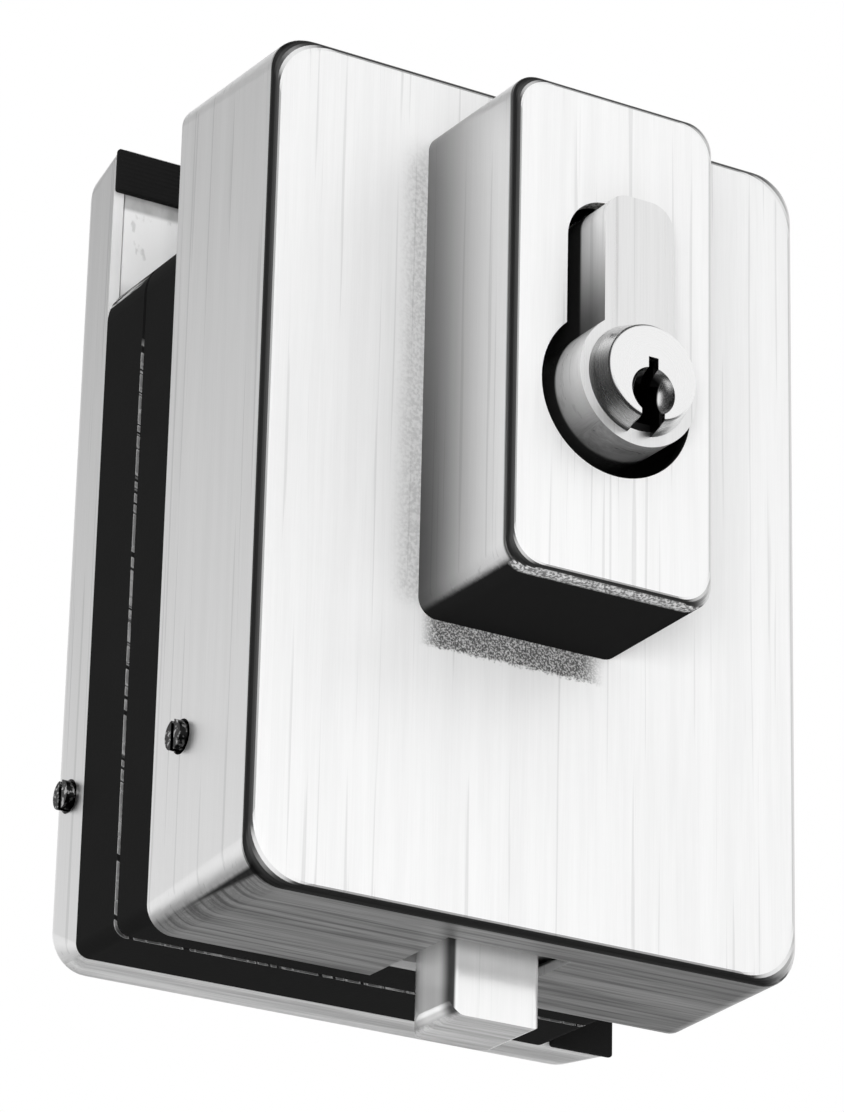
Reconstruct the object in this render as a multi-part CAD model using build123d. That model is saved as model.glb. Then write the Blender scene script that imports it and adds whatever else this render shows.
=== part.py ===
from build123d import *
import os
from math import acos, cos, pi, radians, sin, sqrt, tan

os.makedirs("parts", exist_ok=True)

# Lock for the lower edge of a frameless glass door, in millimetres.
# X runs across the door, Y from the keyed face to the back, Z up.
# The origin is the middle of the seat that the glass edge stands on.

# Covers
cover_width = 79.0
cover_height = 112.5
cover_wall = 1.5
front_depth = 24.8
rear_depth = 8.7
front_rim_radius = 3.5
front_side_radius = 5.4
front_face_radius = 8.6
front_edge = 1.3
rear_rim_radius = 1.8
rear_side_radius = 4.6
rear_face_radius = 9.0
rear_edge = 2.4
edge_steps = 8
cover_clearance = 0.2
rear_rise = 1.7
least_inner_radius = 0.5

# How far a cut runs past the face it opens
past = 1.0

# Glass slot
glass_thickness = 12.0
loose_gasket = 2.5
pad_thickness = 1.0
slot_depth = 18.0
upper_pad_height = 6.2
upper_pad_drop = 0.5
front_pad_inset = 2.5

# Clamp plates and the filler halves in the glass cut-out
front_plate_thickness = 3.0
filler_right_x = 30.0
filler_top_radius = 6.0
filler_bottom_radius = 1.8
parting_y = -1.2
parting_chamfer = 0.35
seat_lip = 3.0
seat_lip_height = 2.0

# Housing of the cylinder, on the front cover
housing_width = 29.4
housing_height = 65.9
housing_depth = 21.2
housing_wall = 2.0
housing_x = -2.2
housing_rise = 0.3
housing_rim_radius = 2.6
housing_side_radius = 3.4
housing_face_radius = 4.8
housing_edge = 1.1
boss_radius = 3.6

# Profile cylinder, slim part up
barrel_radius = 8.5
slim_width = 10.0
slim_rise = 24.5
slim_corner = 3.4
opening_gap = 2.3
opening_top_gap = 1.0
cylinder_shift = 0.3
cylinder_rise = 63.3
cylinder_proud = 5.0
cylinder_front = 30.0
cam_gap = 10.0
cylinder_tail = 5.0
plug_radius = 6.5
plug_fit = 0.05
plug_head_radius = 7.2
plug_face_radius = 6.2
plug_head_height = 3.2
plug_head_round = 0.5
tail_radius = 4.9
tail_flat = 3.95
tail_end_gap = 0.15
lid_profile_gap = 0.2

# Key entry
dimple_drop = 2.5
dimple_radius = 3.1
dimple_depth = 2.4
keyway_top = 1.95
keyway_step = -1.0
keyway_bottom = -5.5
keyway_narrow = 1.4
keyway_wide = 3.3

# Pin stacks
bitting = [0, 2, 4, 1, 3]
pin_radius = 1.5
pin_fit = 0.02
pin_pitch = 4.2
first_pin = 5.0
key_pin_top = 6.3
key_pin_foot = 0.8
key_pin_step = 0.225
driver_pin_foot = 6.6
driver_pin_length = 5.0
cap_height = 2.4
cap_inset = 0.1
spring_wire = 0.35
spring_turns = 7
end_play = 0.1

# Gears
module = 1.0
pressure_angle = radians(20)
cam_teeth = 16
wheel_teeth = 48
pinion_teeth = 9
rack_addendum = 0.5
tooth_overcut = 0.2
tooth_slack = 0.16
root_depth = 1.25
cam_width = 8.0
cam_gear_gap = 0.5
cam_bore_fit = 0.03
wheel_thickness = 2.8
wheel_gap = 0.62
wheel_windows = 5
wheel_hub_radius = 3.6
pinion_shoulder_radius = 3.7
pinion_shoulder = 2.0
pinion_gap = 0.5
axle_radius = 2.0
axle_fit = 0.05
seat_fit = 0.02
axle_seat_depth = 2.0
bush_radius = 4.0
collar_width = 1.0
clip_thickness = 0.8
clip_radius = 6.2
clip_groove_radius = 3.4
clip_mouth = 60.0

# Bolt
bolt_width = 12.5
bolt_depth = 12.0
bolt_x = 1.15
bolt_gap = 0.2
bolt_reach = 8.1
bolt_head_length = 18.6
bolt_length = 52.0
stem_step = 2.0
bolt_side_radius = 4.0
bolt_edge_radius = 0.8
bolt_foot_radius = 1.8
bolt_toe_radius = 0.8
bolt_corner = 2.4
guide_fit = 0.08
notch_left_gap = 3.0
notch_right_gap = 2.1
notch_depth = 18.9

# Case of the mechanism and its lid
case_wall = 2.0
case_side_gap = 0.5
case_bottom_gap = 0.5
case_head_room = 5.2
case_radius = 3.0
lid_thickness = 1.6
lid_gap = 0.4
post_size = 6.0
grub_boss_size = 8.0
grub_boss_depth = 4.0

# Guide of the bolt's stem
guide_height = 5.0
guide_cheek = 4.0
guide_strap = 2.2
guide_ear = 6.0
guide_ear_thickness = 3.0
guide_top_gap = 0.5

# Friction brake of the bolt
brake_x_gap = 2.4
brake_length = 7.0
brake_height = 8.0
brake_depth = 8.0
brake_rise = 20.0
brake_bore = 2.0
brake_fit = 0.05
brake_touch = 0.03
brake_plunger_length = 4.6
brake_plunger_round = 0.7
brake_screw_length = 2.0
brake_wire = 0.4
brake_turns = 4

# Fasteners
grub_radius = 2.0
grub_proud = 1.2
grub_length = 8.0
grub_hole_gap = 0.25
grub_slot = 0.8
grub_slot_depth = 1.2
front_grub_rise = 23.0
front_grub_y = 7.0
rear_grub_rise = 24.0
rear_grub_y = 4.3
thread_fit = 0.03
clamp_screw_radius = 3.0
clamp_screw_gap = 0.3
clamp_head_radius = 5.75
clamp_head_height = 2.8
clamp_hex = 4.0
clamp_hex_sides = 6
clamp_hex_depth = 2.2
clamp_x = 24.0
clamp_low_rise = 12.0
clamp_high_drop = 14.0
clamp_end_gap = 1.0
housing_screw_radius = 2.0
housing_screw_gap = 0.2
housing_screw_length = 8.0
housing_head_radius = 3.4
housing_head_height = 1.8
housing_head_gap = 0.8
lid_screw_radius = 1.5
lid_head_radius = 2.75
lid_head_height = 1.3
guide_screw_radius = 1.25
guide_head_radius = 2.2
guide_head_height = 1.3
fixing_radius = 2.5
fixing_head_radius = 4.4
fixing_head_height = 1.9
fixing_rise = 18.0
fixing_run_out = 1.0
driver_slot = 0.7
driver_slot_depth = 0.7

# Places worked out from the sizes above
half_gap = glass_thickness / 2 + loose_gasket + pad_thickness
side_x = cover_width / 2
top_z = slot_depth
bottom_z = top_z - cover_height
middle_z = (top_z + bottom_z) / 2
rear_bottom_z = bottom_z + rear_rise
front_rim_y = -half_gap
front_face_y = front_rim_y - front_depth
front_wall_y = front_face_y + cover_wall
rear_rim_y = half_gap
rear_face_y = rear_rim_y + rear_depth
plate_front_y = front_rim_y - front_plate_thickness
plate_rear_y = rear_face_y - cover_wall - cover_clearance
plate_width = cover_width - 2 * (cover_wall + cover_clearance)
plate_height = cover_height - 2 * (cover_wall + cover_clearance)
housing_face_y = front_face_y - housing_depth
cylinder_x = housing_x + cylinder_shift
cylinder_z = bottom_z + cylinder_rise
opening_bottom_z = cylinder_z - barrel_radius - opening_gap
opening_top_z = cylinder_z + slim_rise + opening_top_gap
housing_z = (opening_bottom_z + opening_top_z) / 2 + housing_rise
housing_reach = housing_height / 2 - housing_wall
boss_z = [
    (opening_bottom_z + housing_z - housing_reach) / 2,
    (opening_top_z + housing_z + housing_reach) / 2,
]
cylinder_face_y = housing_face_y - cylinder_proud
cam_front_y = cylinder_face_y + cylinder_front
cam_rear_y = cam_front_y + cam_gap
cylinder_end_y = cam_rear_y + cylinder_tail
plug_face_y = cylinder_face_y - plug_head_height
lid_front_y = front_wall_y + lid_gap
lid_rear_y = lid_front_y + lid_thickness
case_side_x = side_x - cover_wall - case_side_gap
case_bottom_z = bottom_z + cover_wall + case_bottom_gap
case_top_z = cylinder_z + slim_rise + case_head_room
brake_z = bottom_z + brake_rise
pin_y = [cylinder_face_y + first_pin + pin_pitch * i for i in range(len(bitting))]

bolt_left_x = bolt_x - bolt_width / 2
bolt_right_x = bolt_x + bolt_width / 2
bolt_rear_y = plate_front_y - bolt_gap
bolt_front_y = bolt_rear_y - bolt_depth
stem_front_y = bolt_front_y + stem_step
bolt_end_z = bottom_z - bolt_reach
head_top_z = bolt_end_z + bolt_head_length
bolt_top_z = bolt_end_z + bolt_length

cam_pitch = module * cam_teeth / 2
wheel_pitch = module * wheel_teeth / 2
pinion_pitch = module * pinion_teeth / 2
stem_left_x = bolt_left_x + rack_addendum
rack_line_x = stem_left_x + rack_addendum
wheel_x = rack_line_x - pinion_pitch
centre_distance = cam_pitch + wheel_pitch
wheel_z = cylinder_z - sqrt(centre_distance ** 2 - (wheel_x - cylinder_x) ** 2)
mesh_angle = -acos((wheel_x - cylinder_x) / centre_distance)
cam_gear_front_y = cam_front_y + cam_gear_gap
cam_gear_rear_y = cam_gear_front_y + cam_width
pinion_rear_y = plate_front_y - pinion_gap
guide_front_y = stem_front_y - guide_fit - guide_strap
wheel_rear_y = guide_front_y - wheel_gap
wheel_front_y = wheel_rear_y - wheel_thickness
pinion_front_y = wheel_rear_y + pinion_shoulder
guide_top_z = bolt_top_z - guide_top_gap
guide_bottom_z = guide_top_z - guide_height
front_grub = (front_rim_y - front_grub_y, bottom_z + front_grub_rise)
rear_grub = (rear_rim_y + rear_grub_y, bottom_z + rear_grub_rise)
clamp_z = [bottom_z + clamp_low_rise, -clamp_high_drop]
fixing_y = (cam_front_y + cam_rear_y) / 2
fixing_z = cylinder_z + fixing_rise
post_x = case_side_x - case_wall - post_size / 2
post_z = [case_bottom_z + case_wall + post_size / 2, case_top_z - case_wall - post_size / 2]


def facing(y):
    """Plane at depth y, with X across, Z up and its normal towards the front."""
    return Plane((0, y, 0), x_dir=(1, 0, 0), z_dir=(0, -1, 0))


def prism(sketch, y_rear, y_front):
    """A sketch in X and Z, carried from its rear depth to its front depth."""
    return extrude(facing(y_rear) * sketch, amount=y_rear - y_front)


def disc(x, z, radius, y_rear, y_front):
    return prism(Pos(x, z) * Circle(radius), y_rear, y_front)


def taper(x, z, radius_rear, radius_front, y_rear, y_front):
    ends = [facing(y_rear) * Pos(x, z) * Circle(radius_rear)]
    ends.append(facing(y_front) * Pos(x, z) * Circle(radius_front))
    return loft(ends, ruled=True)


def block(x0, x1, y0, y1, z0, z1):
    middle = Pos((x0 + x1) / 2, (y0 + y1) / 2, (z0 + z1) / 2)
    return middle * Box(abs(x1 - x0), abs(y1 - y0), abs(z1 - z0))


def cross_rod(x0, x1, y, z, radius):
    """Rod along X."""
    return Pos((x0 + x1) / 2, y, z) * Rot(0, 90, 0) * Cylinder(radius, abs(x1 - x0))


def upright(x, y, z0, z1, radius):
    """Rod along Z."""
    return Pos(x, y, (z0 + z1) / 2) * Cylinder(radius, abs(z1 - z0))


def outline(y, width, height, radius, x, z):
    return facing(y) * Pos(x, z) * RectangleRounded(width, height, radius)


def rounded_box(y_rim, y_face, size, radii, edge, centre):
    """Box from its rim to its face. The corners open from the rim's radius to the side's,
    and the outer edge rolls over in small steps to the larger radius of the face."""
    rim_radius, side_radius, face_radius = radii
    out = 1 if y_face > y_rim else -1
    sections = [outline(y_rim, *size, rim_radius, *centre)]
    for step in range(edge_steps + 1):
        turn = radians(90 * step / edge_steps)
        inset = edge * (1 - cos(turn))
        y = y_face - out * edge * (1 - sin(turn))
        radius = side_radius + (face_radius - side_radius) * (1 - cos(turn))
        sections.append(outline(y, size[0] - 2 * inset, size[1] - 2 * inset, radius, *centre))
    return loft(sections, ruled=True)


def pocket(y_rim, y_floor, size, radii, wall, centre):
    """Hollow of a cover, a wall smaller all round than its outside."""
    inner = (size[0] - 2 * wall, size[1] - 2 * wall)
    rim_radius = max(radii[0] - wall, least_inner_radius)
    floor_radius = max(radii[1] - wall / 2, rim_radius)
    ends = [outline(y_rim, *inner, rim_radius, *centre)]
    ends.append(outline(y_floor, *inner, floor_radius, *centre))
    return loft(ends, ruled=True)


def profile(grow, grow_top):
    """Outline of the profile cylinder, a round barrel with a slim part above it, grown by one
    gap all round and by another at the top."""
    barrel = Circle(barrel_radius + grow)
    foot = barrel_radius / 2
    top = slim_rise + grow_top
    slim = Pos(0, (top - foot) / 2) * RectangleRounded(
        slim_width + 2 * grow, top + foot, slim_corner + grow
    )
    return Pos(cylinder_x, cylinder_z) * (barrel + slim)


def front_cover():
    size = (cover_width, cover_height)
    radii = (front_rim_radius, front_side_radius, front_face_radius)
    centre = (0, middle_z)
    cover = rounded_box(front_rim_y, front_face_y, size, radii, front_edge, centre)
    cover -= pocket(front_rim_y, front_wall_y, size, radii, cover_wall, centre)
    cover -= prism(profile(opening_gap, opening_top_gap), front_wall_y + past, front_face_y - past)
    left = bolt_left_x - notch_left_gap
    right = bolt_right_x + notch_right_gap
    notch_y = front_rim_y - notch_depth
    notch_top = bottom_z + cover_wall + past
    cover -= block(left, right, notch_y, front_rim_y + past, bottom_z - past, notch_top)
    for side in (-1, 1):
        outer = side * (side_x + past)
        inner = side * (side_x - cover_wall - past)
        cover -= cross_rod(inner, outer, *front_grub, grub_radius + grub_hole_gap)
    for z in boss_z:
        hole = housing_screw_radius + housing_screw_gap
        cover -= disc(housing_x, z, hole, front_wall_y + past, front_face_y - past)
    return cover


def cylinder_housing():
    size = (housing_width, housing_height)
    radii = (housing_rim_radius, housing_side_radius, housing_face_radius)
    centre = (housing_x, housing_z)
    body = rounded_box(front_face_y, housing_face_y, size, radii, housing_edge, centre)
    floor_y = housing_face_y + housing_wall
    body -= pocket(front_face_y, floor_y, size, radii, housing_wall, centre)
    for z in boss_z:
        body += disc(housing_x, z, boss_radius, front_face_y, floor_y)
        end_y = front_face_y - housing_screw_length
        body -= disc(housing_x, z, housing_screw_radius, front_face_y + past, end_y)
    body -= prism(profile(opening_gap, opening_top_gap), floor_y + past, housing_face_y - past)
    return body


def housing_screws():
    screws = []
    for z in boss_z:
        shank = housing_screw_radius - thread_fit
        end_y = front_face_y - housing_screw_length + end_play
        head_y = front_wall_y + housing_head_height
        screw = disc(housing_x, z, shank, front_wall_y, end_y)
        screw += disc(housing_x, z, housing_head_radius, head_y, front_wall_y)
        slot = driver_slot / 2
        reach = housing_head_radius
        screw -= block(
            housing_x - reach, housing_x + reach,
            head_y - driver_slot_depth, head_y + past, z - slot, z + slot,
        )
        screws.append(screw)
    return Part() + screws


def rear_cover():
    size = (cover_width, cover_height)
    radii = (rear_rim_radius, rear_side_radius, rear_face_radius)
    centre = (0, middle_z + rear_rise)
    cover = rounded_box(rear_rim_y, rear_face_y, size, radii, rear_edge, centre)
    floor_y = rear_face_y - cover_wall
    cover -= pocket(rear_rim_y, floor_y, size, radii, cover_wall, centre)
    for side in (-1, 1):
        outer = side * (side_x + past)
        inner = side * (side_x - cover_wall - past)
        cover -= cross_rod(inner, outer, *rear_grub, grub_radius + grub_hole_gap)
    return cover


def clamp_places():
    return [(x, z) for x in (-clamp_x, clamp_x) for z in clamp_z]


def post_places():
    return [(x, z) for x in (-post_x, post_x) for z in post_z]


def front_clamp_plate():
    outer = Pos(0, middle_z) * RectangleRounded(plate_width, plate_height, front_rim_radius - cover_wall)
    plate = prism(outer, front_rim_y, plate_front_y)
    for x, z in clamp_places():
        plate -= disc(x, z, clamp_screw_radius, front_rim_y + past, plate_front_y - past)
    for x, z in post_places():
        plate -= disc(x, z, lid_screw_radius, plate_front_y + axle_seat_depth, plate_front_y - past)
    for x, z in guide_screw_places():
        plate -= disc(x, z, guide_screw_radius, plate_front_y + axle_seat_depth, plate_front_y - past)
    seat = axle_radius + seat_fit
    plate -= disc(wheel_x, wheel_z, seat, plate_front_y + axle_seat_depth, plate_front_y - past)
    return plate


def rear_clamp_plate():
    outer = Pos(0, middle_z + rear_rise) * RectangleRounded(plate_width, plate_height, rear_side_radius)
    plate = prism(outer, plate_rear_y, rear_rim_y)
    plate = chamfer(plate.faces().sort_by(Axis.Y)[-1].edges(), rear_edge - cover_wall / 2)
    for x, z in clamp_places():
        hole = clamp_screw_radius + clamp_screw_gap
        plate -= disc(x, z, hole, plate_rear_y + past, rear_rim_y - past)
        plate -= taper(
            x, z, clamp_head_radius + thread_fit, hole,
            plate_rear_y, plate_rear_y - clamp_head_height,
        )
    for side in (-1, 1):
        inner = side * (side_x + grub_proud - grub_length)
        plate -= cross_rod(inner, side * (side_x + past), *rear_grub, grub_radius)
    return plate


def filler(y_rear, y_front):
    """Half of the block that fills the cut-out of the glass, flush with the covers on the left."""
    body = block(-side_x, filler_right_x, y_rear, y_front, rear_bottom_z, 0)
    upright_edges = body.edges().filter_by(Axis.Y)
    body = fillet(upright_edges.group_by(Axis.Z)[-1], filler_top_radius)
    upright_edges = body.edges().filter_by(Axis.Y)
    body = fillet(upright_edges.group_by(Axis.Z)[0], filler_bottom_radius)
    parting = body.faces().filter_by(Axis.Y).sort_by(lambda f: abs(f.center().Y - parting_y))[0]
    outside = [edge for edge in parting.edges() if edge.center().Z < -filler_top_radius]
    return chamfer(outside, parting_chamfer)


def seat_lip_block(gap):
    """Lip at the top of the front half, which carries the glass over the parting line."""
    left = -side_x + filler_top_radius - gap
    right = filler_right_x - filler_top_radius + gap
    return block(left, right, parting_y - gap, seat_lip + gap, -seat_lip_height - gap, gap)


def front_filler_block():
    body = filler(parting_y, front_rim_y)
    body += seat_lip_block(0)
    for x, z in clamp_places():
        body -= disc(x, z, clamp_screw_radius, parting_y + past, front_rim_y - past)
    return body


def rear_filler_block():
    body = filler(rear_rim_y, parting_y)
    body -= seat_lip_block(end_play)
    for x, z in clamp_places():
        hole = clamp_screw_radius + clamp_screw_gap
        body -= disc(x, z, hole, rear_rim_y + past, parting_y - past)
    return body


def patch(x0, x1, z0, z1):
    return Pos((x0 + x1) / 2, (z0 + z1) / 2) * Rectangle(x1 - x0, z1 - z0)


def glass_pads(y_rear, y_front, rise, inset, corner):
    """Rubber strips on one side of the slot: across its upper edge, and down its open end."""
    right = side_x - inset
    low_z = bottom_z + rise + inset
    high_z = top_z + rise
    height = high_z - low_z
    rim = Pos(0, low_z + height / 2) * RectangleRounded(2 * right, height, corner)
    strip_top = high_z - upper_pad_drop
    upper = patch(-right, right, strip_top - upper_pad_height, strip_top)
    end = patch(filler_right_x, right, low_z, 0)
    return prism(rim & (upper + end), y_rear, y_front)


def front_glass_pads():
    y_rear = front_rim_y + pad_thickness
    return glass_pads(y_rear, front_rim_y, 0, front_pad_inset, front_rim_radius)


def rear_glass_pads():
    y_front = rear_rim_y - pad_thickness
    return glass_pads(rear_rim_y, y_front, rear_rise, 0, rear_rim_radius)


def clamp_screws():
    screws = []
    for x, z in clamp_places():
        neck_y = plate_rear_y - clamp_head_height
        end_y = plate_front_y + clamp_end_gap
        shank = clamp_screw_radius - thread_fit
        screw = disc(x, z, shank, neck_y + past, end_y)
        screw += taper(x, z, clamp_head_radius, shank, plate_rear_y, neck_y)
        hexagon = RegularPolygon(clamp_hex / 2, clamp_hex_sides, major_radius=False)
        socket = Pos(x, z) * hexagon
        screw -= prism(socket, plate_rear_y + past, plate_rear_y - clamp_hex_depth)
        screws.append(screw)
    return Part() + screws


def grub_screws(place):
    screws = []
    for side in (-1, 1):
        outer = side * (side_x + grub_proud)
        inner = outer - side * (grub_length - end_play)
        screw = cross_rod(inner, outer, *place, grub_radius - thread_fit)
        y, z = place
        slot_x = outer - side * grub_slot_depth
        screw -= block(
            slot_x, outer + side * past, y - grub_slot / 2, y + grub_slot / 2,
            z - grub_radius, z + grub_radius,
        )
        screws.append(screw)
    return Part() + screws


def front_grub_screws():
    return grub_screws(front_grub)


def rear_grub_screws():
    return grub_screws(rear_grub)


def lock_case():
    """Open frame of walls between the clamp plate and the lid."""
    width = 2 * case_side_x
    height = case_top_z - case_bottom_z
    centre = Pos(0, (case_top_z + case_bottom_z) / 2)
    outer = centre * RectangleRounded(width, height, case_radius)
    inner = centre * RectangleRounded(
        width - 2 * case_wall, height - 2 * case_wall, case_radius - case_wall
    )
    frame = prism(outer - inner, plate_front_y, lid_rear_y)
    for x, z in post_places():
        post = Pos(x, z) * Rectangle(post_size, post_size)
        frame += prism(post, plate_front_y, lid_rear_y)
        frame -= disc(x, z, lid_screw_radius, plate_front_y + past, lid_rear_y - past)
    for side in (-1, 1):
        wall_x = side * (case_side_x - case_wall)
        boss_x = wall_x - side * grub_boss_depth
        y, z = front_grub
        half = grub_boss_size / 2
        frame += block(wall_x, boss_x, plate_front_y, y - half, z - half, z + half)
        frame -= cross_rod(boss_x - side * past, side * side_x, y, z, grub_radius)
    frame -= block(
        bolt_left_x - guide_fit, bolt_right_x + guide_fit,
        bolt_front_y - guide_fit, plate_front_y + past,
        case_bottom_z - past, case_bottom_z + case_wall + past,
    )
    frame -= cross_rod(-side_x, 0, fixing_y, fixing_z, fixing_radius)
    frame -= fixing_cone(thread_fit)
    return frame


def fixing_cone(grow):
    """Countersink of the cylinder's fixing screw, wide end at the case's left side."""
    outer = Plane((-case_side_x, fixing_y, fixing_z), x_dir=(0, 1, 0), z_dir=(1, 0, 0))
    ends = [outer * Circle(fixing_head_radius + grow)]
    ends.append(outer.offset(fixing_head_height) * Circle(fixing_radius - thread_fit + grow))
    return loft(ends, ruled=True)


def lock_case_lid():
    height = case_top_z - case_bottom_z
    centre = Pos(0, (case_top_z + case_bottom_z) / 2)
    outer = centre * RectangleRounded(2 * case_side_x, height, front_side_radius)
    lid = prism(outer, lid_rear_y, lid_front_y)
    hole = profile(lid_profile_gap, lid_profile_gap)
    lid -= prism(hole, lid_rear_y + past, lid_front_y - past)
    for z in boss_z:
        head_hole = housing_head_radius + housing_head_gap
        lid -= disc(housing_x, z, head_hole, lid_rear_y + past, lid_front_y - past)
    lid -= disc(wheel_x, wheel_z, axle_radius + seat_fit, lid_rear_y + past, lid_front_y - past)
    for x, z in post_places():
        lid -= disc(x, z, lid_screw_radius, lid_rear_y + past, lid_front_y - past)
        lid -= taper(
            x, z, lid_screw_radius, lid_head_radius + thread_fit,
            lid_front_y + lid_head_height, lid_front_y,
        )
    return lid


def lid_screws():
    screws = []
    for x, z in post_places():
        shank = lid_screw_radius - thread_fit
        end_y = plate_front_y + axle_seat_depth - end_play
        neck_y = lid_front_y + lid_head_height
        screw = disc(x, z, shank, end_y, neck_y - end_play)
        screw += taper(x, z, shank, lid_head_radius, neck_y, lid_front_y)
        slot = driver_slot / 2
        screw -= block(
            x - lid_head_radius, x + lid_head_radius,
            lid_front_y - past, lid_front_y + driver_slot_depth, z - slot, z + slot,
        )
        screws.append(screw)
    return Part() + screws


def gear_axle():
    rear_y = plate_front_y + axle_seat_depth - end_play
    return disc(wheel_x, wheel_z, axle_radius, rear_y, lid_front_y)


def axle_bushes():
    """Two plain bushes that keep the wheel and the pinion from sliding on the axle."""
    bore = axle_radius + axle_fit
    ring = Circle(bush_radius) - Circle(bore)
    at = Pos(wheel_x, wheel_z)
    front = prism(at * ring, wheel_front_y - end_play, lid_rear_y)
    collar = Circle(bore + collar_width) - Circle(bore)
    rear = prism(at * collar, plate_front_y, pinion_rear_y + end_play)
    return Part() + [front, rear]


def inside_angle(angle):
    return tan(angle) - angle


def gear_sketch(teeth, first_tooth):
    """Involute gear. The half width of a tooth, as an angle, is its value on the pitch circle
    plus the involute angle there, less the involute angle at the radius in question."""
    pitch = module * teeth / 2
    base = pitch * cos(pressure_angle)
    root = pitch - root_depth * module
    tip = pitch + module
    start = max(base, root)
    radii = [start, (start + pitch) / 2, pitch, (pitch + tip) / 2, tip]
    at_pitch = pi / (2 * teeth) - tooth_slack / (2 * pitch) + inside_angle(pressure_angle)
    flank = [(r, at_pitch - inside_angle(acos(min(1, base / r)))) for r in radii]
    if root < base:
        flank.insert(0, (root, flank[0][1]))
    points = []
    for tooth in range(teeth):
        middle = first_tooth + 2 * pi * tooth / teeth
        rising = [(r, middle - half) for r, half in flank]
        falling = [(r, middle + half) for r, half in reversed(flank)]
        points += [(r * cos(a), r * sin(a)) for r, a in rising + falling]
    return make_face(Polyline(*points, close=True))


def tail_sketch(radius, flat):
    """Round tail with two flats, which turns the cam gear."""
    return Circle(radius) & Rectangle(2 * flat, 2 * radius + past)


def cam_gear():
    teeth = gear_sketch(cam_teeth, mesh_angle)
    bore = tail_sketch(tail_radius + cam_bore_fit, tail_flat + cam_bore_fit)
    at = Pos(cylinder_x, cylinder_z)
    return prism(at * (teeth - bore), cam_gear_rear_y, cam_gear_front_y)


def reduction_wheel():
    half_tooth = pi / wheel_teeth
    teeth = gear_sketch(wheel_teeth, mesh_angle + pi + half_tooth)
    sketch = teeth - Circle(wheel_hub_radius + seat_fit)
    window_ring = (wheel_pitch + wheel_hub_radius) / 2
    window_radius = (wheel_pitch - wheel_hub_radius) / 4
    for i in range(wheel_windows):
        angle = 2 * pi * i / wheel_windows
        place = Pos(window_ring * cos(angle), window_ring * sin(angle))
        sketch -= place * Circle(window_radius)
    return prism(Pos(wheel_x, wheel_z) * sketch, wheel_rear_y, wheel_front_y)


def drive_pinion():
    """Small pinion and the hub that the wheel is pressed on, in one piece."""
    at = Pos(wheel_x, wheel_z)
    body = prism(at * gear_sketch(pinion_teeth, 0), pinion_rear_y, pinion_front_y)
    body += disc(wheel_x, wheel_z, pinion_shoulder_radius, pinion_front_y, wheel_rear_y)
    body += disc(wheel_x, wheel_z, wheel_hub_radius, wheel_rear_y, wheel_front_y)
    bore = axle_radius + axle_fit
    return body - disc(wheel_x, wheel_z, bore, pinion_rear_y + past, wheel_front_y - past)


def rack_space():
    """Space between two teeth of the rack, as a sketch about the pitch line."""
    tip = -rack_addendum - tooth_overcut
    root = root_depth * module
    half = pi * module / 4 + tooth_slack / 2
    slope = tan(pressure_angle)
    return make_face(Polyline(
        (tip, half - tip * slope), (root, half - root * slope),
        (root, root * slope - half), (tip, tip * slope - half), close=True,
    ))


def bolt():
    """Square head with rounded edges at the rear and the foot, and a thinner stem with the rack."""
    body = block(bolt_left_x, bolt_right_x, bolt_front_y, bolt_rear_y, bolt_end_z, head_top_z)
    edges = body.edges().filter_by(Axis.Z)
    rear_left = edges.sort_by(lambda e: e.center().X - e.center().Y)[0]
    body = fillet(rear_left, bolt_side_radius)
    edges = body.edges().filter_by(Axis.Z)
    rear_right = edges.sort_by(lambda e: -e.center().X - e.center().Y)[0]
    body = fillet(rear_right, bolt_corner)
    edges = body.edges().filter_by(Axis.Z)
    body = fillet(edges.group_by(Axis.Y)[0], bolt_edge_radius)
    body &= prism(bolt_foot(), bolt_rear_y + past, bolt_front_y - past)
    stem = block(stem_left_x, bolt_right_x, stem_front_y, bolt_rear_y, head_top_z, bolt_top_z)
    body += stem
    reach = rack_length()
    count_up = int(reach[0] / (pi * module)) + 1
    count_down = int(reach[1] / (pi * module)) + 1
    for i in range(-count_down, count_up + 1):
        z = wheel_z + i * pi * module
        space = Pos(rack_line_x, z) * rack_space()
        body -= prism(space, bolt_rear_y + past, stem_front_y - past)
    return body


def bolt_foot():
    """Front view of the bolt's head, with its two lower corners rounded."""
    face = patch(bolt_left_x, bolt_right_x, bolt_end_z, head_top_z)
    left = face.vertices().group_by(Axis.Y)[0].sort_by(Axis.X)[0]
    face = fillet(left, bolt_foot_radius)
    right = face.vertices().group_by(Axis.Y)[0].sort_by(Axis.X)[-1]
    return fillet(right, bolt_toe_radius)


def bolt_travel():
    """Travel of the bolt for one whole turn of the key."""
    return 2 * pi * pinion_pitch * cam_teeth / wheel_teeth


def rack_length():
    """How far the rack runs above and below the pinion's axis at rest."""
    above = pinion_pitch + module / 2
    return above, above + bolt_travel()


def guide_span():
    return stem_left_x - guide_cheek, bolt_right_x + guide_cheek


def guide_screw_places():
    left, right = guide_span()
    z = (guide_top_z + guide_bottom_z) / 2
    return [(left - guide_ear / 2, z), (right + guide_ear / 2, z)]


def bolt_guide():
    """Bracket round the upper end of the stem, with an ear on each side."""
    left, right = guide_span()
    body = block(left, right, guide_front_y, plate_front_y, guide_bottom_z, guide_top_z)
    body += block(
        left - guide_ear, right + guide_ear,
        plate_front_y - guide_ear_thickness, plate_front_y, guide_bottom_z, guide_top_z,
    )
    body -= block(
        stem_left_x - guide_fit, bolt_right_x + guide_fit,
        stem_front_y - guide_fit, plate_front_y + past, guide_bottom_z - past, guide_top_z + past,
    )
    for x, z in guide_screw_places():
        body -= disc(x, z, guide_screw_radius, plate_front_y + past, guide_front_y)
    return body


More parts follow.
